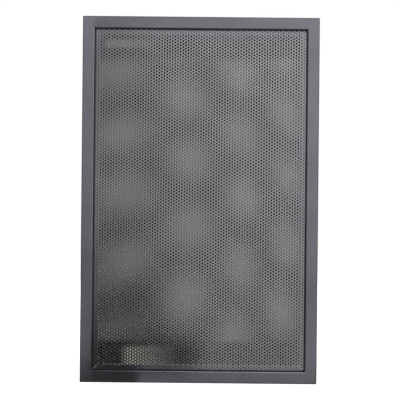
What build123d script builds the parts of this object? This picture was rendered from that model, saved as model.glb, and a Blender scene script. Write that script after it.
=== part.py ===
from build123d import *
import math
import os

# A perforated door for an equipment rack, upright as it hangs on its cabinet.
# X runs across the door, Y from the front face to the back, Z up. The pieces are
# placed about the middle of the door's front face, and each is written measured
# from the seat of the lower hinge pin, on the axis that the door turns about.

os.makedirs("parts", exist_ok=True)

# Door outline
door_width = 577
door_height = 892
door_depth = 30
corner_radius = 3

# Front bars, folded from one strip each: return, side, face, recess wall, lip
frame_gauge = 1.5
frame_bend = 0.5
face_width = 28.5
return_width = 16
recess_depth = 8.5
lip_width = 2
mitre_gap = 0.3

# Rubber seal moulded round the edge of the lip, its inner corners rounded
seal_wall = 0.8
seal_grip = 1.4
seal_corner_radius = 5

# Perforated sheet behind the seal, with six-sided holes in staggered columns
sheet_gauge = 1.2
sheet_cover = 8.5
hole_pitch = 52
hole_across = 34.8
hole_margin = 2

# Rear clamp bars: flange on the return, leg, shelf behind the sheet, stiffener
clamp_gauge = 1.2
clamp_bend = 1
clamp_edge_inset = 3
clamp_leg_gap = 2
clamp_shelf = 25
stiffener_height = 9

# Cleats inside the mitred corners
cleat_gauge = 2
cleat_length = 70
cleat_clearance = 2

# Line inside the door's edge that the hardware on the back is centred on
land_inset = 10

# Hinge brackets, folded to a U, with the pin through both ears
hinge_end_distance = 95
bracket_gauge = 2
bracket_bend = 1
bracket_height = 44
bracket_width = 12

# Hinge pins: a body in the ears and a thinner end for the cabinet's socket
pin_body_radius = 3.5
pin_end_radius = 3
pin_end_length = 10
pin_tip_chamfer = 1
pin_running_clearance = 0.05
pin_head_radius = 5
pin_head_height = 2

# Push-on ring that grips the upper pin's body below the upper ear
clip_gauge = 1
clip_rim = 1.3
clip_clearance = 0.2

# Flat lever riveted to the foot of the upper pin, its end folded to a finger tab
foot_radius = 2.5
foot_drop = 4
lever_gauge = 2
lever_bend = 1
lever_width = 10
lever_reach = 30
lever_tab = 12

# Compression spring on the upper pin, coiled from square wire
spring_wire = 0.9
spring_clearance = 0.35
spring_end_clearance = 0.1
spring_turns = 4.5
spring_runs_per_turn = 14

# Magnetic catches on the closing stile
closing_gap = 15
catch_end_distance = 150
catch_length = 48
catch_width = 13
catch_flange_gauge = 2.5
catch_block_length = 28
catch_rim = 1.2
catch_chamfer = 4
catch_pocket_depth = 10
pole_gauge = 1.6
pole_length = 24
magnet_length = 20
magnet_depth = 7
magnet_gap = 0.1

# Earth stud, washer and nut on the bottom bar
earth_side_distance = 130
stud_radius = 3
stud_chamfer = 0.5
stud_washer_radius = 6
stud_washer_gauge = 1.6
stud_nut_across_flats = 10
stud_nut_height = 5
stud_clearance = 0.1

# Moulded rubber buffers near the four corners
buffer_side_distance = 60
buffer_length = 24
buffer_width = 12
buffer_chamfer = 2

# Overrun of every cutting tool past the face that it cuts
overrun = 1

# Depths that the pieces share, from the front face backwards
sheet_front = recess_depth + frame_gauge + seal_wall
sheet_back = sheet_front + sheet_gauge
back_face = door_depth + clamp_gauge
stiffener_end = sheet_back + clamp_gauge + stiffener_height
closing_face = back_face + closing_gap
clip_radius = pin_body_radius + clip_rim
pin_depth = back_face + bracket_gauge + bracket_bend + clip_clearance + clip_radius

# Distances inwards from the door's outer edge
lip_edge = face_width + lip_width
seal_edge = lip_edge + seal_wall
sheet_edge = face_width - sheet_cover
clamp_leg = return_width + clamp_leg_gap
shelf_edge = clamp_leg + clamp_shelf

# Lines that the hardware sits on
land_x = door_width / 2 - land_inset
land_z = door_height / 2 - land_inset
hinge_z = door_height / 2 - hinge_end_distance
pin_seat = Vector(land_x, pin_depth, -hinge_z - bracket_height / 2)

back = Vector(0, 1, 0)
up = Vector(0, 0, 1)
right = Vector(1, 0, 0)


def write(node, shape):
    """Write one piece, measured from the seat of the lower hinge pin."""
    export_step(Location(-pin_seat) * shape, f"parts/{node}.step")


def group(solids):
    """Several loose solids of one kind in one node."""
    return Compound(children=[solid.solid() for solid in solids])


def row(count, span):
    """Evenly spaced places along a line of the given length, centred on zero."""
    if count == 1:
        return [0]
    return [span * (index / (count - 1) - 1 / 2) for index in range(count)]


def folded_section(points, gauge, bend):
    """Section of a folded sheet: the points follow one face, the metal is on its left."""
    points = [Vector(*point) for point in points]
    directions = [(end - start).normalized() for start, end in zip(points, points[1:])]
    normals = [Vector(-direction.Y, direction.X) * gauge for direction in directions]
    turns_left = [
        first.cross(second).Z > 0 for first, second in zip(directions, directions[1:])
    ]
    near_radii = [bend + gauge if left else bend for left in turns_left]
    far_radii = [bend if left else bend + gauge for left in turns_left]
    far_points = [points[0] + normals[0]]
    far_points += [
        point + first + second
        for point, first, second in zip(points[1:], normals, normals[1:])
    ]
    far_points += [points[-1] + normals[-1]]
    near = FilletPolyline(*points, radius=near_radii)
    far = FilletPolyline(*far_points, radius=far_radii)
    ends = [Line(near @ 0, far @ 0), Line(near @ 1, far @ 1)]
    return make_face(near.edges() + far.edges() + ends)


def mitred_bar(section, inward, length, gap):
    """A bar along one side of the door, its section running inwards and back."""
    half = length / 2
    bar = extrude(section, amount=half, both=True)
    reach = half - gap * math.sqrt(1 / 2)
    for end in (-1, 1):
        mitre = Plane(origin=(0, 0, end * reach), z_dir=(1, 0, end))
        bar = split(bar, bisect_by=mitre, keep=Keep.BOTTOM)
    across = door_width if inward.X else door_height
    edge = Plane(origin=inward * (-across / 2), x_dir=inward, z_dir=inward.cross(back))
    return edge.location * bar


def four_bars(section, gap):
    """The same bar on all four sides, by side name."""
    return {
        "top": mitred_bar(section, -up, door_width, gap),
        "bottom": mitred_bar(section, up, door_width, gap),
        "left": mitred_bar(section, right, door_height, gap),
        "right": mitred_bar(section, -right, door_height, gap),
    }


def along_y(x, z, radius, start, end):
    """A round bar or cutter that runs backwards through the door."""
    plane = Plane(origin=(x, start, z), x_dir=(1, 0, 0), z_dir=(0, 1, 0))
    return extrude(plane * Circle(radius), amount=end - start)


def turned(x, z, outline):
    """A turned piece whose outline gives radius and depth, about a line through the door."""
    profile = make_face(Polyline(*outline, close=True))
    spin = revolve(profile, axis=Axis.Y, revolution_arc=360)
    return Location((x, 0, z)) * spin


def catch_places():
    """Middle of each magnetic catch, lower one first."""
    return [(-land_x, side * (door_height / 2 - catch_end_distance)) for side in (-1, 1)]


def buffer_places():
    """Where the four rubber buffers stand, by corner."""
    x = door_width / 2 - buffer_side_distance
    return {
        "top_left": (-x, land_z),
        "top_right": (x, land_z),
        "bottom_left": (-x, -land_z),
        "bottom_right": (x, -land_z),
    }


def front_bars():
    """The four folded bars that make the door's face, sides and recess."""
    section = folded_section(
        [
            (return_width, door_depth),
            (0, door_depth),
            (0, 0),
            (face_width, 0),
            (face_width, recess_depth),
            (lip_edge, recess_depth),
        ],
        frame_gauge,
        frame_bend,
    )
    outline = Plane.XZ * RectangleRounded(door_width, door_height, corner_radius)
    envelope = extrude(outline, amount=-door_depth)
    bars = four_bars(section, mitre_gap)
    return {side: bar & envelope for side, bar in bars.items()}


def clamp_bars():
    """The four folded bars that press the sheet against the seal from behind."""
    section = folded_section(
        [
            (clamp_edge_inset, door_depth),
            (clamp_leg, door_depth),
            (clamp_leg, sheet_back),
            (shelf_edge, sheet_back),
            (shelf_edge, stiffener_end),
        ],
        clamp_gauge,
        clamp_bend,
    )
    return four_bars(section, mitre_gap)


def inset_ring(outer, inner, radius, start, end):
    """A flat ring between two insets from the door's edge, its inner corners rounded."""
    plane = Plane(origin=(0, start, 0), x_dir=(1, 0, 0), z_dir=(0, 1, 0))
    ring = Rectangle(door_width - 2 * outer, door_height - 2 * outer)
    opening = Rectangle(door_width - 2 * inner, door_height - 2 * inner)
    if radius:
        opening = fillet(opening.vertices(), radius=radius)
    return extrude(plane * (ring - opening), amount=end - start)


def lip_seal():
    """One loop of rubber over the front, edge and back of the lip."""
    outer = lip_edge - seal_grip
    lip_back = recess_depth + frame_gauge
    seal = inset_ring(
        outer, seal_edge, seal_corner_radius, recess_depth - seal_wall, sheet_front
    )
    return seal - inset_ring(outer, lip_edge, 0, recess_depth, lip_back)


def hole_places():
    """Centres of the holes: upright columns, every second one shifted by half a pitch."""
    column_pitch = hole_pitch * math.sqrt(3) / 2
    margin = 2 * (seal_edge + hole_margin) + hole_across
    columns = int((door_width - margin) / column_pitch) + 1
    rows = int((door_height - margin) / hole_pitch) + 1
    places = []
    for index, x in enumerate(row(columns, (columns - 1) * column_pitch)):
        count = rows - index % 2
        places += [(x, z) for z in row(count, (count - 1) * hole_pitch)]
    return places


def hexagon(x, z, across, y):
    """Outline of a six-sided hole with flats at its top and bottom."""
    radius = across / math.sqrt(3)
    corners = [
        Vector(x + radius * math.cos(turn), y, z + radius * math.sin(turn))
        for turn in (index * math.pi / 3 for index in range(6))
    ]
    return Wire.make_polygon(corners, close=True)


def perforated_sheet():
    """The staggered-hole panel, its rim clamped behind the seal."""
    half_width = door_width / 2 - sheet_edge
    half_height = door_height / 2 - sheet_edge
    rim = Wire.make_polygon(
        [
            Vector(-half_width, sheet_front, -half_height),
            Vector(half_width, sheet_front, -half_height),
            Vector(half_width, sheet_front, half_height),
            Vector(-half_width, sheet_front, half_height),
        ],
        close=True,
    )
    holes = [hexagon(x, z, hole_across, sheet_front) for x, z in hole_places()]
    return Solid.extrude(Face(rim, holes), back * sheet_gauge)


def corner_cleat(side_x, side_z):
    """Flat angle plate that ties two bars together behind a mitre."""
    inset = frame_gauge + cleat_clearance
    width = face_width - 2 * inset
    leg = Rectangle(cleat_length, width, align=Align.MIN)
    leg += Rectangle(width, cleat_length, align=Align.MIN)
    plate = extrude(leg, amount=cleat_gauge)
    corner = Plane(
        origin=(
            side_x * (door_width / 2 - inset),
            frame_gauge + (cleat_gauge if side_x * side_z > 0 else 0),
            side_z * (door_height / 2 - inset),
        ),
        x_dir=(-side_x, 0, 0),
        z_dir=Vector(-side_x, 0, 0).cross(Vector(0, 0, -side_z)),
    )
    return corner.location * plate


def hinge_bracket(side):
    """A folded U with rounded ears, bored for the pin."""
    half = bracket_height / 2
    ear_end = pin_depth + bracket_width / 2
    section = folded_section(
        [(ear_end, half), (back_face, half), (back_face, -half), (ear_end, -half)],
        bracket_gauge,
        bracket_bend,
    )
    upright = Plane(origin=(land_x, 0, side * hinge_z), x_dir=(0, 1, 0), z_dir=(1, 0, 0))
    bracket = extrude(upright * section, amount=bracket_width / 2, both=True)
    flat = Plane(origin=(land_x, pin_depth, side * hinge_z))
    base_reach = pin_depth - back_face
    ear_shape = Circle(bracket_width / 2) + Location((0, -base_reach / 2)) * Rectangle(
        bracket_width, base_reach
    )
    bracket &= extrude(flat * ear_shape, amount=half, both=True)
    bore = pin_body_radius + pin_running_clearance
    return bracket - extrude(flat * Circle(bore), amount=half + overrun, both=True)


def upright_rod(side, radius, low, high):
    """A round length of hinge pin between two heights above its bracket's middle."""
    plane = Plane(origin=(land_x, pin_depth, side * hinge_z + low))
    return extrude(plane * Circle(radius), amount=high - low)


def pin_end(side):
    """The thinner end of a hinge pin, with its chamfered tip, past the outer ear."""
    half = bracket_height / 2
    end = upright_rod(side, pin_end_radius, half, half + pin_end_length + pin_tip_chamfer)
    end = chamfer(end.edges().group_by(Axis.Z)[-1], length=pin_tip_chamfer)
    if side > 0:
        return end
    middle = Plane(origin=(land_x, pin_depth, side * hinge_z))
    return mirror(end, about=middle)


def clip_top():
    """Height of the clip's upper face: it bears on the inner face of the upper ear."""
    return bracket_height / 2 - bracket_gauge


def retaining_clip():
    """Spring-steel ring pushed onto the upper pin's body until it meets the ear."""
    high = clip_top()
    low = high - clip_gauge
    return upright_rod(1, clip_radius, low, high) - upright_rod(1, pin_body_radius, low, high)


def upper_pin():
    """Sprung pin, its thinner foot riveted through the lever below the bracket."""
    half = bracket_height / 2
    foot = -half - foot_drop
    body = upright_rod(1, pin_body_radius, foot, half)
    return body + pin_end(1) + upright_rod(1, foot_radius, foot - lever_gauge, foot)


def pin_lever():
    """Flat lever that points into the door, with a tab to draw the pin down by."""
    top = -bracket_height / 2 - foot_drop
    section = folded_section(
        [(lever_tab, lever_reach), (0, lever_reach), (0, 0)], lever_gauge, lever_bend
    )
    # The section's axes run down from the lever's upper face and inwards from the pin
    middle = Plane(
        origin=(land_x, pin_depth, hinge_z + top), x_dir=(0, 0, -1), z_dir=(0, 1, 0)
    )
    lever = extrude(middle * section, amount=lever_width / 2, both=True)
    lever += upright_rod(1, lever_width / 2, top - lever_gauge, top)
    return lever - upright_rod(1, foot_radius, top - lever_gauge, top)


def lower_pin():
    """Fixed pin, its head riveted onto the upper ear, its thin end below the lower one."""
    half = bracket_height / 2
    body = upright_rod(-1, pin_body_radius, -half, half)
    head = upright_rod(-1, pin_head_radius, half, half + pin_head_height)
    return body + head + pin_end(-1)


def hinge_spring():
    """Compression spring between the clip and the lower ear, in short straight runs."""
    low = bracket_gauge - bracket_height / 2 + spring_end_clearance
    high = clip_top() - clip_gauge - spring_end_clearance
    height = high - low - spring_wire
    coil_radius = pin_body_radius + spring_clearance + spring_wire / 2
    coil = Helix(height / spring_turns, height, coil_radius)
    runs = round(spring_turns * spring_runs_per_turn)
    path = Polyline(*[coil @ (index / runs) for index in range(runs + 1)])
    start = Plane(origin=path @ 0, x_dir=(1, 0, 0), z_dir=path % 0)
    section = start * Rectangle(spring_wire, spring_wire)
    wire = sweep(section, path=path, transition=Transition.RIGHT)
    return Location((land_x, pin_depth, hinge_z + low + spring_wire / 2)) * wire


def block(x, z, width, length, start, end):
    """A square-cornered block on the door's back, between two depths."""
    plane = Plane(origin=(x, start, z), x_dir=(1, 0, 0), z_dir=(0, 1, 0))
    return extrude(plane * Rectangle(width, length), amount=end - start)


def catch_housing(x, z):
    """Moulded catch body: a screw flange and a rimmed block open to the back."""
    rim = closing_face - pole_gauge / 2
    plane = Plane(origin=(x, back_face, z), x_dir=(1, 0, 0), z_dir=(0, 1, 0))
    flange = Rectangle(catch_width, catch_length)
    flange = chamfer(flange.vertices(), length=catch_chamfer)
    housing = extrude(plane * flange, amount=catch_flange_gauge)
    housing += block(x, z, catch_width, catch_block_length, back_face, rim)
    pocket_width = catch_width - 2 * catch_rim
    housing -= block(
        x, z, pocket_width, pole_length, closing_face - catch_pocket_depth, rim + overrun
    )
    return housing


def catch_magnet(x, z):
    """Block magnet between the two pole plates."""
    width = catch_width - 2 * (catch_rim + pole_gauge + magnet_gap)
    start = closing_face - catch_pocket_depth
    return block(x, z, width, magnet_length, start, start + magnet_depth)


def catch_poles(x, z):
    """The two steel plates that meet the cabinet when the door is shut."""
    offset = catch_width / 2 - catch_rim - pole_gauge / 2
    start = closing_face - catch_pocket_depth
    return group(
        block(x + side * offset, z, pole_gauge, pole_length, start, closing_face)
        for side in (-1, 1)
    )


def earth_place():
    """Where the earth stud stands on the bottom bar."""
    return door_width / 2 - earth_side_distance, -land_z


def earth_stud():
    """Stud welded to the clamp bar, as long as the closing gap leaves room for."""
    x, z = earth_place()
    return turned(
        x,
        z,
        [
            (0, back_face),
            (stud_radius, back_face),
            (stud_radius, closing_face - 2 * stud_chamfer),
            (stud_radius - stud_chamfer, closing_face - stud_chamfer),
            (0, closing_face - stud_chamfer),
        ],
    )


def earth_washer():
    """Plain washer under the nut."""
    x, z = earth_place()
    end = back_face + stud_washer_gauge
    ring = along_y(x, z, stud_washer_radius, back_face, end)
    return ring - along_y(x, z, stud_radius + stud_clearance, back_face, end)


def earth_nut():
    """Six-sided nut on the earth stud."""
    x, z = earth_place()
    start = back_face + stud_washer_gauge
    plane = Plane(origin=(x, start, z), x_dir=(1, 0, 0), z_dir=(0, 1, 0))
    outline = RegularPolygon(stud_nut_across_flats / 2, 6, major_radius=False)
    outline -= Circle(stud_radius + stud_clearance)
    return extrude(plane * outline, amount=stud_nut_height)


def rubber_buffer(x, z):
    """Moulded block with a chamfered nose, stuck to the clamp bar."""
    body = block(x, z, buffer_length, buffer_width, back_face, closing_face)
    nose = body.faces().sort_by(Axis.Y)[-1]
    return chamfer(nose.edges(), length=buffer_chamfer)


frame = front_bars()
write("top_rail", frame["top"])
write("bottom_rail", frame["bottom"])
write("left_stile", frame["left"])
write("right_stile", frame["right"])

write("lip_seal", lip_seal())
write("perforated_sheet", perforated_sheet())

for side, bar in clamp_bars().items():
    write(f"rear_{side}_clamp", bar)

for high, side_z in (("bottom", -1), ("top", 1)):
    for wide, side_x in (("left", -1), ("right", 1)):
        write(f"{high}_{wide}_cleat", corner_cleat(side_x, side_z))

write("upper_hinge_bracket", hinge_bracket(1))
write("lower_hinge_bracket", hinge_bracket(-1))
write("upper_hinge_pin", upper_pin())
write("upper_pin_lever", pin_lever())
write("lower_hinge_pin", lower_pin())
write("upper_hinge_clip", retaining_clip())
write("upper_hinge_spring", hinge_spring())

for name, (x, z) in zip(("lower", "upper"), catch_places()):
    write(f"{name}_catch_housing", catch_housing(x, z))
    write(f"{name}_catch_magnet", catch_magnet(x, z))
    write(f"{name}_catch_poles", catch_poles(x, z))

write("earth_stud", earth_stud())
write("earth_washer", earth_washer())
write("earth_nut", earth_nut())

for corner, (x, z) in buffer_places().items():
    write(f"{corner}_buffer", rubber_buffer(x, z))
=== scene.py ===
import math

import bmesh
import bpy
from mathutils import Matrix, Vector


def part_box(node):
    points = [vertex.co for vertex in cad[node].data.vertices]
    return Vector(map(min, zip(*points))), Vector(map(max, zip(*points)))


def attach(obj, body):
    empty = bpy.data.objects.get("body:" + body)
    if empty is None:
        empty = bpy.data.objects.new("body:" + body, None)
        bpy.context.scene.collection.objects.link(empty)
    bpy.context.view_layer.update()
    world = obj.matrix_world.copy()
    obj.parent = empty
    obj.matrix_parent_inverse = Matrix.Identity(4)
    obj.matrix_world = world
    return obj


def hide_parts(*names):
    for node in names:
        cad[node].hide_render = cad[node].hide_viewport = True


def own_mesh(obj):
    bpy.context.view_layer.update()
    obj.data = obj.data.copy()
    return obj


# A perforated door for an equipment rack, seen square from the front. The folded
# bars, cleats, clamps, hinges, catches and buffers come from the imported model. The
# holed sheet, the hinge spring and the screws are made here. Everything is in
# metres, measured from the seat of the lower hinge pin: X across the door with the
# hinges at high X, Y from the front to the back, Z up.

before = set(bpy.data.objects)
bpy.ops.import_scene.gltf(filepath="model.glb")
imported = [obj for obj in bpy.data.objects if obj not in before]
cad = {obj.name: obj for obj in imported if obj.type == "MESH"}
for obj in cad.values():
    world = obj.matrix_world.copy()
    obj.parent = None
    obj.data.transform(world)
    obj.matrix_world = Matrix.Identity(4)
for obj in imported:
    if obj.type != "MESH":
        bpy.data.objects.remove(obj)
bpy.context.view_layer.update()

MM = 0.001

door_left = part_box("left_stile")[0].x
door_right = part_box("right_stile")[1].x
door_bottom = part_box("bottom_rail")[0].z
door_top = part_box("top_rail")[1].z
door_width = door_right - door_left
door_height = door_top - door_bottom
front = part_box("top_rail")[0].y
middle = Vector(((door_left + door_right) / 2, front, (door_bottom + door_top) / 2))


def add_object(name, shape, material):
    """Makes the bmesh an object of the scene, in one material."""
    mesh = bpy.data.meshes.new(name)
    shape.to_mesh(mesh)
    shape.free()
    mesh.materials.append(material)
    made = bpy.data.objects.new(name, mesh)
    bpy.context.scene.collection.objects.link(made)
    return made


def add_piece(name, shape, material, slot, *replaced):
    """Makes the bmesh a piece that rides on the door, for the nodes that it replaces."""
    piece = add_object(name, shape, material)
    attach(piece, "door")
    if replaced:
        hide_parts(*replaced)
    return piece


def turned(degrees, axis):
    """A turn about one axis."""
    return Matrix.Rotation(math.radians(degrees), 3, axis)


def verts_of(geometry):
    """The vertices among what an operator gave back."""
    return [part for part in geometry if isinstance(part, bmesh.types.BMVert)]


def edges_at(verts):
    """The edges that meet these vertices, each once and always in the same order."""
    return list(dict.fromkeys(edge for vert in verts for edge in vert.link_edges))


def repeat(shape, steps):
    """Adds a copy of the whole shape at each step."""
    first = shape.verts[:] + shape.edges[:] + shape.faces[:]
    for step in steps:
        made = bmesh.ops.duplicate(shape, geom=first)["geom"]
        bmesh.ops.translate(shape, verts=verts_of(made), vec=step)


# Round holes in upright lines, every second line shifted by half a pitch
HOLE_PITCH = 7.44 * MM
HOLE_ACROSS = 4.85 * MM
HOLE_SIDES = 12
LINE_PITCH = HOLE_PITCH * math.sqrt(3) / 2
HOLE_LINES = 85
HOLE_ROWS = 117

# The middle of the pattern lies a little right of the door's middle and below it
HOLES_RIGHT = 1.2 * MM
HOLES_UP = -2.6 * MM

# The sheet is made in strips, so that no piece is too heavy
SHEET_STRIPS = 5
MERGE_DISTANCE = 0.01 * MM


def holed_cell():
    """One six-sided patch of flat sheet round its hole, the patches tile the sheet."""
    cell = bmesh.new()
    bmesh.ops.create_circle(cell, segments=HOLE_SIDES, radius=HOLE_ACROSS / 2)
    bmesh.ops.create_circle(
        cell,
        segments=6,
        radius=HOLE_PITCH / math.sqrt(3),
        matrix=Matrix.Rotation(math.radians(30), 4, "Z"),
    )
    bmesh.ops.bridge_loops(cell, edges=cell.edges[:])
    return cell


def sheet_strip(first_line, last_line):
    """The part of the sheet between two lines of holes, trimmed to the sheet's edges."""
    low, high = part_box("perforated_sheet")
    strip = holed_cell()
    repeat(strip, [Vector((0, HOLE_PITCH * row, 0)) for row in range(1, HOLE_ROWS)])
    start_x = middle.x + HOLES_RIGHT + (first_line - (HOLE_LINES - 1) / 2) * LINE_PITCH
    start_z = middle.z + HOLES_UP - HOLE_PITCH * (HOLE_ROWS - 1) / 2
    shift = first_line % 2 * HOLE_PITCH / 2
    bmesh.ops.translate(strip, verts=strip.verts[:], vec=(start_x, start_z + shift, 0))
    steps = []
    for line in range(first_line + 1, last_line):
        lift = (line % 2 - first_line % 2) * HOLE_PITCH / 2
        steps.append(Vector(((line - first_line) * LINE_PITCH, lift, 0)))
    repeat(strip, steps)
    bmesh.ops.remove_doubles(strip, verts=strip.verts[:], dist=MERGE_DISTANCE)
    for point, outwards in (
        ((low.x, 0, 0), (-1, 0, 0)),
        ((high.x, 0, 0), (1, 0, 0)),
        ((0, low.z, 0), (0, -1, 0)),
        ((0, high.z, 0), (0, 1, 0)),
    ):
        bmesh.ops.bisect_plane(
            strip,
            geom=strip.verts[:] + strip.edges[:] + strip.faces[:],
            plane_co=point,
            plane_no=outwards,
            clear_outer=True,
        )
    bmesh.ops.rotate(strip, verts=strip.verts[:], matrix=turned(90, "X"))
    bmesh.ops.translate(strip, verts=strip.verts[:], vec=(0, low.y, 0))
    rear = bmesh.ops.extrude_face_region(strip, geom=strip.faces[:])["geom"]
    bmesh.ops.translate(strip, verts=verts_of(rear), vec=(0, high.y - low.y, 0))
    bmesh.ops.recalc_face_normals(strip, faces=strip.faces[:])
    return strip


# A domed screw head: the height and width of each of its rings, and its socket's
# width and depth, all as shares of the head's own
HEAD_SIDES = 20
HEAD_SUNK = 0.2 * MM
HEAD_RING_SHARES = ((0.35, 1.0), (0.7, 0.9), (0.92, 0.74), (1.0, 0.58))
SOCKET_WIDTH_SHARE = 0.46
SOCKET_DEPTH_SHARE = 0.7


def screw_head(shape, place, radius, height):
    """A domed screw head with a six-sided socket, its underside a little sunk."""
    before = set(shape.verts)
    loop = bmesh.ops.create_circle(shape, segments=HEAD_SIDES, radius=radius)["verts"]
    bmesh.ops.translate(shape, verts=loop, vec=(0, 0, -HEAD_SUNK))
    edges = edges_at(loop)
    level, across = -HEAD_SUNK, 1.0
    for height_share, width_share in HEAD_RING_SHARES:
        made = bmesh.ops.extrude_edge_only(shape, edges=edges)["geom"]
        ring = verts_of(made)
        edges = [part for part in made if isinstance(part, bmesh.types.BMEdge)]
        edges = [edge for edge in edges if edge.verts[0] in ring and edge.verts[1] in ring]
        bmesh.ops.translate(shape, verts=ring, vec=(0, 0, height_share * height - level))
        narrower = width_share / across
        bmesh.ops.scale(shape, verts=ring, vec=(narrower, narrower, 1))
        level, across = height_share * height, width_share
    socket = bmesh.ops.create_circle(shape, segments=6, radius=radius * SOCKET_WIDTH_SHARE)["verts"]
    bmesh.ops.translate(shape, verts=socket, vec=(0, 0, height))
    walls = edges_at(socket)
    bmesh.ops.bridge_loops(shape, edges=edges + walls)
    foot = verts_of(bmesh.ops.extrude_edge_only(shape, edges=walls)["geom"])
    bmesh.ops.translate(shape, verts=foot, vec=(0, 0, -SOCKET_DEPTH_SHARE * height))
    bmesh.ops.contextual_create(shape, geom=foot)
    new = [vert for vert in shape.verts if vert not in before]
    bmesh.ops.rotate(shape, verts=new, matrix=turned(-90, "X"))
    bmesh.ops.translate(shape, verts=new, vec=place)


def screws(places, radius, height):
    """Screw heads at these places on the back of the door."""
    shape = bmesh.new()
    for place in places:
        screw_head(shape, place, radius, height)
    bmesh.ops.recalc_face_normals(shape, faces=shape.faces[:])
    return shape


# The spring on the upper pin. A closed turn rises by a little over the wire's width.
COIL_RADIUS = 4.3 * MM
WIRE_RADIUS = 0.45 * MM
WIRE_SIDES = 8
OPEN_TURNS = 9
CLOSED_RISE = 2.1 * WIRE_RADIUS
RUNS_PER_TURN = 24


def coiled_spring(low, high):
    """Round wire coiled round the pin, with one closed turn at each end."""
    shape = bmesh.new()
    wire = bmesh.ops.create_circle(
        shape,
        cap_ends=True,
        segments=WIRE_SIDES,
        radius=WIRE_RADIUS,
        matrix=Matrix.Translation((COIL_RADIUS, 0, low + WIRE_RADIUS))
        @ Matrix.Rotation(math.radians(90), 4, "X"),
    )["verts"]
    geometry = wire + shape.edges[:] + shape.faces[:]
    open_rise = high - low - 2 * WIRE_RADIUS - 2 * CLOSED_RISE
    for turns, rise in ((1, CLOSED_RISE), (OPEN_TURNS, open_rise), (1, CLOSED_RISE)):
        runs = turns * RUNS_PER_TURN
        geometry = bmesh.ops.spin(
            shape,
            geom=geometry,
            axis=(0, 0, 1),
            dvec=(0, 0, rise / runs),
            angle=math.tau * turns,
            steps=runs,
            use_merge=False,
            use_normal_flip=False,
            use_duplicate=False,
        )["geom_last"]
    bmesh.ops.recalc_face_normals(shape, faces=shape.faces[:])
    for face in shape.faces:
        face.smooth = True
    return shape


def colour(hex_code):
    """An sRGB colour such as #8a8d92 as linear values."""
    levels = [int(hex_code[start:start + 2], 16) / 255 for start in (1, 3, 5)]
    return [
        level / 12.92 if level <= 0.04045 else ((level + 0.055) / 1.055) ** 2.4
        for level in levels
    ] + [1.0]


def add_node(tree, kind, inputs=None, **settings):
    """Adds a node, with its settings, and each input set or linked."""
    node = tree.nodes.new(kind)
    for name, value in settings.items():
        setattr(node, name, value)
    for name, value in (inputs or {}).items():
        if isinstance(value, bpy.types.NodeSocket):
            tree.links.new(value, node.inputs[name])
        else:
            node.inputs[name].default_value = value
    return node


def maths(tree, operation, *values):
    """The result of one sum."""
    node = add_node(tree, "ShaderNodeMath", dict(enumerate(values)), operation=operation)
    return node.outputs["Value"]


def vector_maths(tree, operation, *values):
    """The result of one sum on vectors, which is a number for a dot product."""
    node = add_node(tree, "ShaderNodeVectorMath", dict(enumerate(values)), operation=operation)
    return node.outputs["Value" if operation == "DOT_PRODUCT" else "Vector"]


def axes_of(tree, vector):
    """The vector's X, Y and Z."""
    return add_node(tree, "ShaderNodeSeparateXYZ", {"Vector": vector}).outputs


def level_between(tree, value, start, end, low=0.0, high=1.0):
    """Low where the value is at the start, high where it is at the end, even between."""
    inputs = {"Value": value, "From Min": start, "From Max": end, "To Min": low, "To Max": high}
    return add_node(tree, "ShaderNodeMapRange", inputs).outputs["Result"]


def about(tree, level, value, below, above):
    """The value, less at the level's low end and more at its high end."""
    return level_between(tree, level, 0.0, 1.0, low=value - below, high=value + above)


def tones(tree, level, *stops):
    """A ramp of colours over the level, each given after its position."""
    ramp = add_node(tree, "ShaderNodeValToRGB", {"Fac": level})
    elements = ramp.color_ramp.elements
    elements[0].position = stops[0][0]
    elements[1].position = stops[-1][0]
    for position, tone in stops[1:-1]:
        elements.new(position)
    for element, (position, tone) in zip(elements, stops):
        element.color = colour(tone)
    return ramp.outputs["Color"]


def mixed(tree, share, first, second):
    """The first colour, and the second one by this share."""
    inputs = {"Fac": share, "Color1": first, "Color2": second}
    return add_node(tree, "ShaderNodeMixRGB", inputs).outputs["Color"]


def cloudy(tree, place, size, detail):
    """A soft irregular pattern with patches of about this size."""
    inputs = {"Vector": place, "Scale": 1 / size, "Detail": detail}
    return add_node(tree, "ShaderNodeTexNoise", inputs).outputs["Fac"]


def relief(tree, pattern, strength, depth):
    """The pattern as a shallow relief."""
    inputs = {"Height": pattern, "Strength": strength, "Distance": depth}
    return add_node(tree, "ShaderNodeBump", inputs).outputs["Normal"]


def new_finish(name):
    """An empty node material and its tree."""
    material = bpy.data.materials.new(name)
    material.use_nodes = True
    material.node_tree.nodes.clear()
    return material, material.node_tree


def place_on_object(tree):
    """The place on the object, which all patterns are laid out by."""
    return add_node(tree, "ShaderNodeTexCoord").outputs["Object"]


def cover(tree, kind, inputs):
    """Ends the finish with this shader."""
    shader = add_node(tree, kind, inputs)
    add_node(tree, "ShaderNodeOutputMaterial", {"Surface": shader.outputs[0]})


# Patch sizes of the patterns: clouds in the powder coat, its orange peel, the film of
# oil on turned steel, and where plastic and rubber have been handled
COAT_CLOUD = 1000 / 9 * MM
ORANGE_PEEL = 2.4 * MM
OIL_FILM = 50 / 11 * MM
HANDLED_PATCH = 100 / 9 * MM

# How far gloss varies with the clouds in the coat and with the handled patches
COAT_GLOSS_SPREAD = 0.04
MOULDED_GLOSS_SPREAD = 0.06

# Where the painted shade along the door's outer bend starts and where it is full: measured inwards
# from the door's outline, and backwards from its face
PAINTED_SHADE_INWARDS = (2.6 * MM, 1.2 * MM)
PAINTED_SHADE_BACKWARDS = (2.0 * MM, 0.8 * MM)


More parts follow.
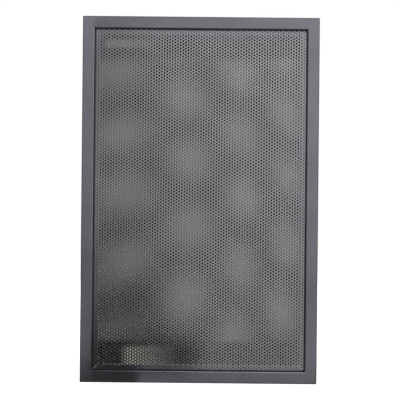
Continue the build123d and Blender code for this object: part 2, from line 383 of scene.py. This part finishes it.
def painted_shade_edge(tree, place):
    """How much painted shade darkens the coat along the door's outer bend, at the front only."""
    from_middle = vector_maths(tree, "ABSOLUTE", vector_maths(tree, "SUBTRACT", place, middle))
    axes = axes_of(tree, from_middle)
    past_side = maths(tree, "SUBTRACT", axes["X"], door_width / 2)
    past_end = maths(tree, "SUBTRACT", axes["Z"], door_height / 2)
    outwards = maths(tree, "MAXIMUM", past_side, past_end)
    rim = level_between(tree, outwards, -PAINTED_SHADE_INWARDS[0], -PAINTED_SHADE_INWARDS[1])
    fore = level_between(tree, axes["Y"], PAINTED_SHADE_BACKWARDS[0], PAINTED_SHADE_BACKWARDS[1])
    return maths(tree, "MULTIPLY", rim, fore)


def powder_coat(name, dark, light, roughness, pigment=0.85, edge_shade_tone=None):
    """Baked polyester powder coat with a little metal pigment: a satin skin whose slow
    orange peel, about 2 mm across, blurs reflections. It is cloudy by a few percent in
    colour and in gloss, and darkened by painted shade along the door's outer bend if a tone is
    given."""
    material, tree = new_finish(name)
    place = place_on_object(tree)
    cloud = cloudy(tree, place, size=COAT_CLOUD, detail=3.0)
    body = tones(tree, cloud, (0.3, dark), (0.7, light))
    if edge_shade_tone:
        # Painted shade: a dark line along the door's outer bend
        body = mixed(tree, painted_shade_edge(tree, place), body, colour(edge_shade_tone))
    peel = cloudy(tree, place, size=ORANGE_PEEL, detail=2.0)
    cover(tree, "ShaderNodeBsdfPrincipled", {
        "Base Color": body,
        "Roughness": about(tree, cloud, roughness, COAT_GLOSS_SPREAD, COAT_GLOSS_SPREAD),
        "Metallic": pigment,
        "Normal": relief(tree, peel, strength=0.25, depth=0.03 * MM),
    })
    return material


def plated_metal(name, dark, light, patch, roughness, grain, depth):
    """Bare or plated metal: patches of slightly different tone and gloss, and a fine
    grain of this size and depth from the blank's rolling or drawing."""
    material, tree = new_finish(name)
    place = place_on_object(tree)
    patches = cloudy(tree, place, size=patch, detail=4.0)
    fine = cloudy(tree, place, size=grain, detail=3.0)
    cover(tree, "ShaderNodeBsdfPrincipled", {
        "Base Color": tones(tree, patches, (0.32, dark), (0.68, light)),
        "Roughness": about(tree, patches, roughness, below=0.07, above=0.09),
        "Metallic": 1.0,
        "Normal": relief(tree, fine, strength=0.4, depth=depth),
    })
    return material


# Feed marks are 0.1 mm apart, drawn at 0.6 mm so that they show. At scale 1 the wave
# pattern has a ring every pi / 10 metres.
RING_PITCH = 0.6 * MM
RING_SCALE = math.pi / 10 / RING_PITCH


def turned_steel(name):
    """Bright drawn steel turned to size: rings round the pin catch the light in bands,
    under a thin film of oil."""
    material, tree = new_finish(name)
    place = place_on_object(tree)
    rings = add_node(
        tree,
        "ShaderNodeTexWave",
        {"Vector": place, "Scale": RING_SCALE, "Distortion": 1.5, "Detail": 2.0},
        bands_direction="Z",
    ).outputs["Fac"]
    film = cloudy(tree, place, size=OIL_FILM, detail=3.0)
    cover(tree, "ShaderNodeBsdfPrincipled", {
        "Base Color": tones(tree, film, (0.0, "#a9a7a2"), (1.0, "#c9c7c3")),
        "Roughness": level_between(tree, rings, 0.0, 1.0, low=0.16, high=0.3),
        "Metallic": 1.0,
        "Normal": relief(tree, rings, strength=0.3, depth=0.01 * MM),
    })
    return material


def moulded(name, dark, light, roughness, grain, depth):
    """Moulded plastic, rubber or pressed ferrite: an even body colour, slightly paler
    where it has been handled, with the fine matt grain of its mould."""
    material, tree = new_finish(name)
    place = place_on_object(tree)
    handled = cloudy(tree, place, size=HANDLED_PATCH, detail=4.0)
    fine = cloudy(tree, place, size=grain, detail=2.0)
    cover(tree, "ShaderNodeBsdfPrincipled", {
        "Base Color": tones(tree, handled, (0.35, dark), (0.75, light)),
        "Roughness": about(tree, handled, roughness, MOULDED_GLOSS_SPREAD, MOULDED_GLOSS_SPREAD),
        "IOR": 1.5,
        "Normal": relief(tree, fine, strength=0.5, depth=depth),
    })
    return material


# The frame's coat gets painted shade, #3a3a3e, along the door's outer bend
frame_coat = powder_coat(
    "satin_graphite_powder_coat", "#6d6e74", "#77787f", roughness=0.28, edge_shade_tone="#3a3a3e"
)
# More metal pigment than in the frame's coat, so what is dark is mirrored darkly in it
sheet_coat = powder_coat(
    "satin_grey_powder_coat_on_sheet", "#8b888c", "#969397", roughness=0.3, pigment=0.95
)
clamp_coat = powder_coat("satin_graphite_powder_coat_inside", "#5f6268", "#696c73", roughness=0.42)
zinc = plated_metal(
    "blue_passivated_zinc_plate",
    "#9fa6ad",
    "#c4c9cd",
    patch=6 * MM,
    roughness=0.34,
    grain=0.35 * MM,
    depth=0.01 * MM,
)
spring_steel = plated_metal(
    "drawn_spring_steel",
    "#7f7c76",
    "#a19e98",
    patch=3 * MM,
    roughness=0.28,
    grain=0.3 * MM,
    depth=0.006 * MM,
)
pole_steel = plated_metal(
    "ground_pole_steel",
    "#a3a09b",
    "#bdbab5",
    patch=4 * MM,
    roughness=0.25,
    grain=0.25 * MM,
    depth=0.006 * MM,
)
pin_steel = turned_steel("turned_bright_steel")
acetal = moulded(
    "moulded_black_acetal",
    "#17181a",
    "#232427",
    roughness=0.42,
    grain=0.4 * MM,
    depth=0.02 * MM,
)
ferrite = moulded(
    "sintered_ferrite", "#2b2a2c", "#3a393a", roughness=0.6, grain=0.25 * MM, depth=0.03 * MM
)
rubber = moulded(
    "moulded_black_rubber",
    "#141414",
    "#242423",
    roughness=0.72,
    grain=0.6 * MM,
    depth=0.04 * MM,
)
seal_rubber = moulded(
    "extruded_black_seal_rubber",
    "#0e0e0f",
    "#191919",
    roughness=0.6,
    grain=0.5 * MM,
    depth=0.02 * MM,
)

NODE_FINISH = {
    frame_coat: ["top_rail", "bottom_rail", "left_stile", "right_stile"],
    clamp_coat: ["rear_top_clamp", "rear_bottom_clamp", "rear_left_clamp", "rear_right_clamp"],
    zinc: [
        "top_left_cleat",
        "top_right_cleat",
        "bottom_left_cleat",
        "bottom_right_cleat",
        "upper_hinge_bracket",
        "lower_hinge_bracket",
        "upper_pin_lever",
        "earth_washer",
        "earth_nut",
        "earth_stud",
    ],
    pin_steel: ["upper_hinge_pin", "lower_hinge_pin"],
    spring_steel: ["upper_hinge_clip"],
    acetal: ["lower_catch_housing", "upper_catch_housing"],
    ferrite: ["lower_catch_magnet", "upper_catch_magnet"],
    pole_steel: ["lower_catch_poles", "upper_catch_poles"],
    rubber: ["top_left_buffer", "top_right_buffer", "bottom_left_buffer", "bottom_right_buffer"],
    seal_rubber: ["lip_seal"],
}
for finish, names in NODE_FINISH.items():
    for name in names:
        cad[name].data.materials.clear()
        cad[name].data.materials.append(finish)

lines_per_strip = math.ceil(HOLE_LINES / SHEET_STRIPS)
for index in range(SHEET_STRIPS):
    first_line = index * lines_per_strip
    last_line = min(first_line + lines_per_strip, HOLE_LINES)
    add_piece(
        f"holed_sheet_strip_{index + 1}",
        sheet_strip(first_line, last_line),
        sheet_coat,
        "sheet_coat",
        "perforated_sheet",
    )


def centre_of(node):
    """The middle of the node's box."""
    low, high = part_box(node)
    return (low + high) / 2


def above_and_below(nodes, x, y, spread):
    """Two places on each of these nodes, one below its middle and one above."""
    return [
        Vector((x, y, centre_of(node).z + rise))
        for node in nodes
        for rise in (-spread, spread)
    ]


# Places of the screws, from the door's middle, and from the middle of what they hold
SIDE_SCREWS_UP = (-406 * MM, -203 * MM, 0, 203 * MM, 406 * MM)
END_SCREWS_RIGHT = (-178.5 * MM, 0, 178.5 * MM)
HINGE_SCREWS_SPREAD = 10 * MM
CATCH_SCREWS_SPREAD = 19 * MM

# What the heads stand on, behind the clamp bars
BRACKET_GAUGE = 2 * MM
CATCH_FLANGE_GAUGE = 2.5 * MM

back_of_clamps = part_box("rear_left_clamp")[1].y
hinge_line = centre_of("upper_hinge_pin").x
catch_line = centre_of("lower_catch_housing").x
clamp_places = [
    Vector((x, back_of_clamps, middle.z + up))
    for x in (catch_line, hinge_line)
    for up in SIDE_SCREWS_UP
]
clamp_places += [
    Vector((middle.x + right, back_of_clamps, centre_of(buffer).z))
    for buffer in ("bottom_left_buffer", "top_left_buffer")
    for right in END_SCREWS_RIGHT
]
add_piece(
    "clamp_screws", screws(clamp_places, radius=4 * MM, height=2.2 * MM), zinc, "zinc_plate"
)
hinge_places = above_and_below(
    ("lower_hinge_bracket", "upper_hinge_bracket"),
    hinge_line,
    back_of_clamps + BRACKET_GAUGE,
    HINGE_SCREWS_SPREAD,
)
add_piece(
    "hinge_screws", screws(hinge_places, radius=3.6 * MM, height=0.7 * MM), zinc, "zinc_plate"
)
catch_places = above_and_below(
    ("lower_catch_housing", "upper_catch_housing"),
    catch_line,
    back_of_clamps + CATCH_FLANGE_GAUGE,
    CATCH_SCREWS_SPREAD,
)
add_piece(
    "catch_screws", screws(catch_places, radius=3.2 * MM, height=1.4 * MM), zinc, "zinc_plate"
)

# The spring is squashed towards the lower ear, just under its foot
spring_low, spring_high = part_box("upper_hinge_spring")
spring = add_piece(
    "hinge_spring_coil",
    coiled_spring(spring_low.z, spring_high.z),
    spring_steel,
    "spring_steel",
    "upper_hinge_spring",
)
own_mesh(spring)

# The camera stands square to the door, almost at its middle and rolled by half a degree
CAMERA_DISTANCE = 2.6
CAMERA_RIGHT = 0.6 * MM
CAMERA_ROLL = 0.55
VIEW_WIDTH = 973.2 * MM
SENSOR_WIDTH = 36
lens = bpy.data.cameras.new("camera")
lens.sensor_width = SENSOR_WIDTH
lens.lens = SENSOR_WIDTH * CAMERA_DISTANCE / VIEW_WIDTH
camera = bpy.data.objects.new("camera", lens)
camera.location = middle + Vector((CAMERA_RIGHT, -CAMERA_DISTANCE, 0))
camera.rotation_euler = (turned(90, "X") @ turned(CAMERA_ROLL, "Z")).to_euler()
bpy.context.scene.collection.objects.link(camera)
bpy.context.scene.camera = camera
bpy.context.scene.view_settings.view_transform = "Standard"


def flat_panel(name, centre, width, length, turn, material, swing=0):
    """A flat rectangle of the stage, drawn level, then turned about X and about Z."""
    shape = bmesh.new()
    bmesh.ops.create_grid(shape, x_segments=1, y_segments=1, size=0.5)
    bmesh.ops.scale(shape, verts=shape.verts[:], vec=(width, length, 1))
    bmesh.ops.rotate(shape, verts=shape.verts[:], matrix=turned(turn, "X"))
    bmesh.ops.rotate(shape, verts=shape.verts[:], matrix=turned(swing, "Z"))
    bmesh.ops.translate(shape, verts=shape.verts[:], vec=centre)
    panel = add_object(name, shape, material)
    return panel


def hide_from(panel, *rays):
    """Leaves the panel out of these kinds of ray."""
    for ray in rays:
        setattr(panel, f"visible_{ray}", False)


FLOOR_GLOW = 0.72


def floor_finish():
    """Matt white studio floor that stays white in the picture and keeps its shadows."""
    material, tree = new_finish("matt_white_studio_floor")
    ray = add_node(tree, "ShaderNodeLightPath")
    lift = maths(tree, "MULTIPLY", ray.outputs["Is Camera Ray"], FLOOR_GLOW)
    matt = add_node(tree, "ShaderNodeBsdfDiffuse", {"Color": colour("#e8e8e6")})
    glow = add_node(tree, "ShaderNodeEmission", {"Strength": lift})
    cover(tree, "ShaderNodeAddShader", {0: matt.outputs[0], 1: glow.outputs[0]})
    return material


FLOOR_SIZE = 12
FLOOR_DROP = 0.1 * MM
flat_panel(
    "floor",
    (middle.x, 0, door_bottom - FLOOR_DROP),
    FLOOR_SIZE,
    FLOOR_SIZE,
    0,
    floor_finish(),
)

# The card behind the sheet lies on the clamp bars' shelf and fills their opening. It glows with
# painted shade and painted light, seen through the holes.
SHELF_GAUGE = 1.2 * MM
CARD_CLEARANCE = 0.2 * MM
shelf_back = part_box("perforated_sheet")[1].y + SHELF_GAUGE
card_middle = Vector((middle.x, shelf_back + CARD_CLEARANCE, middle.z))
opening_width = 2 * (middle.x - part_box("rear_left_clamp")[1].x)
opening_height = opening_width + door_height - door_width

# Painted light: three sets of waves paint soft pale patches, the moiré of light that falls through
# the holes onto what is behind.
# Each wave: its start in turns, its turns in a metre, and how they grow outwards
PAINTED_LIGHT_WAVES = (
    (0.14, (7.38, 0, 0.03), (6.2, 0, 1.6)),
    (0.69, (3.34, 0, -6.20), (-0.4, 0, -0.7)),
    (0.45, (4.04, 0, 6.23), (6.5, 0, 2.3)),
)

# The sum of the three waves where the card's painted shade is darkest and where its painted light
# is palest
WAVE_SUMS = (-1.5, 3.0)

# The card is full painted shade past this height above and below its middle, and painted shade
# makes it a little darker on
# the left: where each change starts and where it ends
PAINTED_SHADE_HALF_HEIGHT = (352 * MM, 338 * MM)
PAINTED_SHADE_LEFT = (-260 * MM, -40 * MM)
PAINTED_SHADE_LEFT_LEVEL = 0.8

# Painted light in gaps low and high on the left, where light would come in: a colour, then where
# each edge fades out and in, in millimetres
PAINTED_LIGHT_GAPS = (
    ("#8e8b82", (("Z", -353, -366), ("X", -193, -172), ("X", -50, -165))),
    ("#6a6b62", (("Z", 368, 373), ("Z", 393, 388), ("X", -242, -225), ("X", -100, -190))),
)


def painted_light_and_shade_card_finish():
    """What is seen through the holes from the front, painted on a glowing card: painted shade for a
    dim room behind the door, with soft patches of painted light where three sets of waves meet,
    which crowd together to the right, and pale gaps of painted light. From behind, the card is
    clear."""
    material, tree = new_finish("painted_light_and_shade_behind_the_door")
    place = place_on_object(tree)
    place = vector_maths(tree, "SUBTRACT", place, card_middle)
    square = vector_maths(tree, "MULTIPLY", place, place)
    axes = axes_of(tree, place)
    total = 0.0
    for start, slope, growth in PAINTED_LIGHT_WAVES:
        along = vector_maths(tree, "DOT_PRODUCT", place, slope)
        grown = vector_maths(tree, "DOT_PRODUCT", square, growth)
        turns = maths(tree, "ADD", along, grown)
        phase = maths(tree, "MULTIPLY_ADD", turns, math.tau, math.tau * start)
        total = maths(tree, "ADD", total, maths(tree, "COSINE", phase))
    level = level_between(tree, total, *WAVE_SUMS)
    height = maths(tree, "ABSOLUTE", axes["Z"])
    inside = level_between(tree, height, *PAINTED_SHADE_HALF_HEIGHT)
    across = level_between(tree, axes["X"], *PAINTED_SHADE_LEFT, low=PAINTED_SHADE_LEFT_LEVEL)
    level = maths(tree, "MULTIPLY", maths(tree, "MULTIPLY", level, inside), across)
    # Painted shade for the dark between the patches, painted light for the pale patches
    seen = tones(tree, level, (0.0, "#0a090b"), (1.0, "#6e6d66"))
    # Painted light in the pale gaps
    for light, edges in PAINTED_LIGHT_GAPS:
        gap = 1.0
        for axis, shut, full in edges:
            edge = level_between(tree, axes[axis], shut * MM, full * MM)
            gap = maths(tree, "MULTIPLY", gap, edge)
        seen = mixed(tree, gap, seen, colour(light))
    glow = add_node(tree, "ShaderNodeEmission", {"Color": seen})
    clear = add_node(tree, "ShaderNodeBsdfTransparent")
    side = add_node(tree, "ShaderNodeNewGeometry").outputs["Backfacing"]
    cover(tree, "ShaderNodeMixShader", {0: side, 1: glow.outputs[0], 2: clear.outputs[0]})
    return material


painted_light_and_shade_card = flat_panel(
    "painted_light_and_shade_card",
    card_middle,
    opening_width - CARD_CLEARANCE,
    opening_height - CARD_CLEARANCE,
    90,
    painted_light_and_shade_card_finish(),
)
hide_from(painted_light_and_shade_card, "diffuse", "glossy", "transmission", "volume_scatter", "shadow")


def black_finish():
    """Dull black cloth, seen only as a dark reflection low on the left of the door."""
    material, tree = new_finish("dull_black_cloth")
    cover(tree, "ShaderNodeBsdfDiffuse", {"Color": colour("#120a0e")})
    return material


def grey_finish(name, *stops):
    """A grey flag, darker downwards, seen only as a soft reflection on the left of the
    door. Each tone comes after its height as a share of the door's."""
    material, tree = new_finish(name)
    place = place_on_object(tree)
    share = level_between(tree, axes_of(tree, place)["Z"], door_bottom, door_top)
    cover(tree, "ShaderNodeEmission", {"Color": tones(tree, share, *stops)})
    return material


# Dull black panels, in millimetres: the centre from the foot of the door's face, the
# width, the length, and the turn about X in degrees
BLACK_PANELS = (
    ("black_cloth", (-240, -460, 1), 180, 920, 0),
    ("black_screen", (-240, -920, 100), 180, 200, 90),
    ("black_box", (-205, -50, 60), 116, 120, 90),
    ("low_black_box", (-80, -160, 47), 170, 90, 90),
)
foot = Vector((middle.x, front, door_bottom))
black_cloth = black_finish()
reflected_panels = [
    flat_panel(name, foot + Vector(centre) * MM, width * MM, length * MM, turn, black_cloth)
    for name, centre, width, length, turn in BLACK_PANELS
]

# The dark flag runs from the left bar away from the door, the pale one beside it
# stands square to it. Places are from the middle of the door's face.
FLAG_NEAR = Vector((-262, -16, 0)) * MM
FLAG_FAR = Vector((-120, -500, 0)) * MM
FLAG_HEIGHT = 890 * MM
SIDE_FLAG_PLACE = Vector((-333, -150, 15)) * MM
SIDE_FLAG_WIDTH = 136 * MM
SIDE_FLAG_HEIGHT = 860 * MM
flag_run = FLAG_FAR - FLAG_NEAR
reflected_panels += [
    flat_panel(
        "grey_flag",
        middle + (FLAG_NEAR + FLAG_FAR) / 2,
        flag_run.length,
        FLAG_HEIGHT,
        90,
        grey_finish("dark_grey_flag", (0.06, "#1d1a1c"), (0.53, "#c6c6c6")),
        swing=math.degrees(math.atan2(flag_run.y, flag_run.x)),
    ),
    flat_panel(
        "pale_grey_flag",
        middle + SIDE_FLAG_PLACE,
        SIDE_FLAG_WIDTH,
        SIDE_FLAG_HEIGHT,
        90,
        grey_finish("pale_grey_flag", (0.3, "#b4b4b4"), (0.85, "#f4f4f4")),
    ),
]
for panel in reflected_panels:
    hide_from(panel, "camera", "diffuse", "transmission", "volume_scatter", "shadow")

# Square soft lights that face the middle of the door: a name, a place and a power
LIGHT_SIZE = 2.0
SOFT_LIGHTS = (
    ("key_light", (1.5, -2.4, 2.1), 42),
    ("fill_light", (-2.2, -2.6, 0.8), 18),
    ("rear_light", (-1.2, 2.6, 1.6), 40),
)
for name, place, power in SOFT_LIGHTS:
    light = bpy.data.lights.new(name, "AREA")
    light.shape = "SQUARE"
    light.size = LIGHT_SIZE
    light.energy = power
    lamp = bpy.data.objects.new(name, light)
    lamp.location = place
    lamp.rotation_euler = (middle - Vector(place)).to_track_quat("-Z", "Y").to_euler()
    lamp.visible_camera = False
    bpy.context.scene.collection.objects.link(lamp)

# The studio in reflections, from its left side to its right: white in front of the door
# and behind it, and greyer at the sides
WALL_TONES = (
    (0.0, "#8c8c8c"),
    (0.3, "#a8a8a8"),
    (0.42, "#cecece"),
    (0.52, "#ffffff"),
    (0.68, "#ffffff"),
    (0.9, "#8c8c8c"),
)
WHITE = (1, 1, 1, 1)

# Reflections find more light overhead and far to the right, which draws the thin light
# lines along the bends of the bottom bar and of the left bar
MORE_LIGHT_FROM = (0.5, 0.75)
MORE_OVERHEAD = 1.8
MORE_ON_THE_RIGHT = 5.0

# The light on matt surfaces
FILL_STRENGTH = 0.45

world = bpy.data.worlds.new("studio")
bpy.context.scene.world = world
world.use_nodes = True
sky = world.node_tree
sky.nodes.clear()
ray = add_node(sky, "ShaderNodeLightPath").outputs
seen = maths(sky, "MAXIMUM", ray["Is Camera Ray"], ray["Is Glossy Ray"])
seen = maths(sky, "MAXIMUM", seen, ray["Is Transmission Ray"])
way = axes_of(sky, add_node(sky, "ShaderNodeTexCoord").outputs["Generated"])
walls = tones(sky, level_between(sky, way["X"], -1.0, 1.0), *WALL_TONES)
overhead = level_between(sky, way["Z"], *MORE_LIGHT_FROM, high=MORE_OVERHEAD)
on_the_right = level_between(sky, way["X"], *MORE_LIGHT_FROM, high=MORE_ON_THE_RIGHT)
more = maths(sky, "ADD", overhead, on_the_right)
shine = add_node(sky, "ShaderNodeBackground", {
    "Color": mixed(sky, ray["Is Glossy Ray"], WHITE, walls),
    "Strength": maths(sky, "MULTIPLY_ADD", more, ray["Is Glossy Ray"], 1.0),
})
fill = add_node(sky, "ShaderNodeBackground", {"Color": WHITE, "Strength": FILL_STRENGTH})
both = add_node(sky, "ShaderNodeMixShader", {0: seen, 1: fill.outputs[0], 2: shine.outputs[0]})
add_node(sky, "ShaderNodeOutputWorld", {"Surface": both.outputs[0]})
